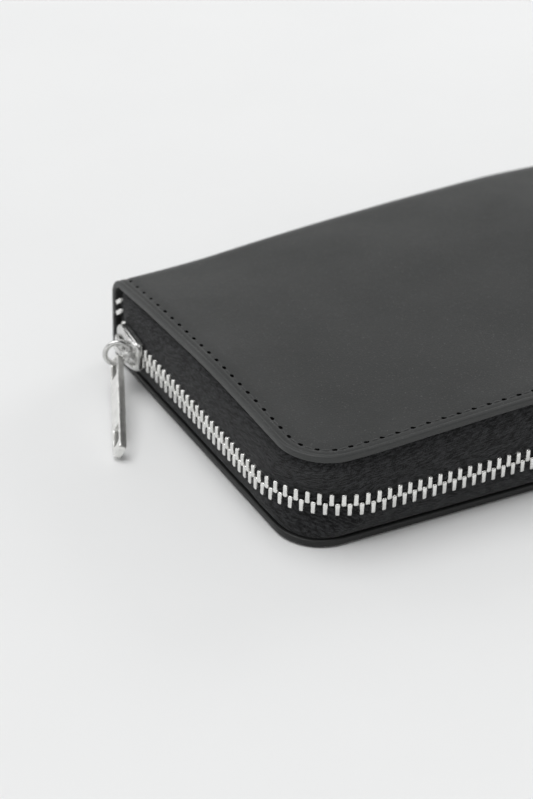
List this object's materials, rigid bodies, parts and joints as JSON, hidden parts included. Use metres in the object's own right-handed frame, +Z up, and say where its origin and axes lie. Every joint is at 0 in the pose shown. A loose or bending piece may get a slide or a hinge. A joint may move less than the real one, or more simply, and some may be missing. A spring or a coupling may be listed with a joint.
{
  "type": "long wallet",
  "caption": "Zip-around long wallet with two leather covers, a folding spine, card slots, a centre coin pocket and a metal zip whose slider carries a ring and a long bar pull.",
  "frame": {"origin": "centre of the underside, on the flat outer face of the lower cover", "axes": "+X along the long side away from the main slider, +Y from the zip towards the spine, +Z up through the closed wallet"},
  "size_m": [0.2111, 0.0975, 0.0288],
  "materials": {
    "leather": "satin",
    "lining": "matte",
    "zip_tape": "matte",
    "zip_metal": "polished"
  },
  "bodies": {
    "lower_half": {"lower_cover": "leather", "lower_lining": "lining", "lower_bill_panel": "lining", "lower_card_slot_1": "lining", "lower_card_slot_2": "lining", "lower_card_slot_3": "lining", "lower_zip_tape": "zip_tape", "lower_zip_teeth": "zip_metal", "zip_end_stop": "zip_metal", "left_lower_gusset": "lining", "right_lower_gusset": "lining"},
    "spine": {"spine_leather": "leather", "spine_lining": "lining", "pocket_lower_wall": "lining", "pocket_upper_wall": "lining", "pocket_lower_tape": "zip_tape", "pocket_upper_tape": "zip_tape", "pocket_lower_teeth": "zip_metal", "pocket_upper_teeth": "zip_metal", "pocket_stop": "zip_metal"},
    "upper_half": {"upper_cover": "leather", "upper_lining": "lining", "upper_bill_panel": "lining", "upper_card_slot_1": "lining", "upper_card_slot_2": "lining", "upper_card_slot_3": "lining", "upper_zip_tape": "zip_tape", "upper_zip_teeth": "zip_metal", "left_upper_gusset": "lining", "right_upper_gusset": "lining"},
    "slider": {"main_slider": "zip_metal"},
    "ring": {"pull_ring": "zip_metal"},
    "bar": {"pull_bar": "zip_metal"},
    "coin_zip_slider": {"coin_slider": "zip_metal"},
    "coin_zip_pull": {"coin_pull": "zip_metal"}
  },
  "joints": [
    {"name": "lower_fold", "type": "hinge", "parent": "lower_half", "child": "spine", "pos_m": [0, 0.046, 0], "axis": [-1, 0, 0], "range_deg": [0, 30], "deforming": ["lower_zip_tape", "lower_zip_teeth", "left_lower_gusset", "right_lower_gusset", "pocket_lower_tape", "pocket_upper_tape", "pocket_lower_teeth", "pocket_upper_teeth"]},
    {"name": "upper_fold", "type": "hinge", "parent": "spine", "child": "upper_half", "pos_m": [0, 0.046, 0.0233], "axis": [-1, 0, 0], "range_deg": [0, 30], "deforming": ["upper_zip_tape", "upper_zip_teeth", "left_upper_gusset", "right_upper_gusset"]},
    {"name": "main_zip_slide", "type": "slide", "parent": "lower_half", "child": "slider", "axis": [0, -1, 0], "range_m": [0, 0.054]},
    {"name": "pull_ring_swing", "type": "hinge", "parent": "slider", "child": "ring", "pos_m": [-0.0999, 0.0319, 0.01], "axis": [0, 1, 0], "range_deg": [-20, 20]},
    {"name": "pull_bar_swing", "type": "hinge", "parent": "ring", "child": "bar", "pos_m": [-0.1009, 0.0319, 0.00725], "axis": [-0.9552, 0.2961, 0], "range_deg": [0, 30]},
    {"name": "coin_zip_slide", "type": "slide", "parent": "spine", "child": "coin_zip_slider", "axis": [1, 0, 0], "range_m": [0, 0.135]},
    {"name": "coin_pull_swing", "type": "hinge", "parent": "coin_zip_slider", "child": "coin_zip_pull", "pos_m": [-0.068, -0.04309, 0.01165], "axis": [0, 0, -1], "range_deg": [0, 12]}
  ],
  "couplings": [
    {"joint": "upper_fold", "follows": "lower_fold", "ratio": 1}
  ]
}
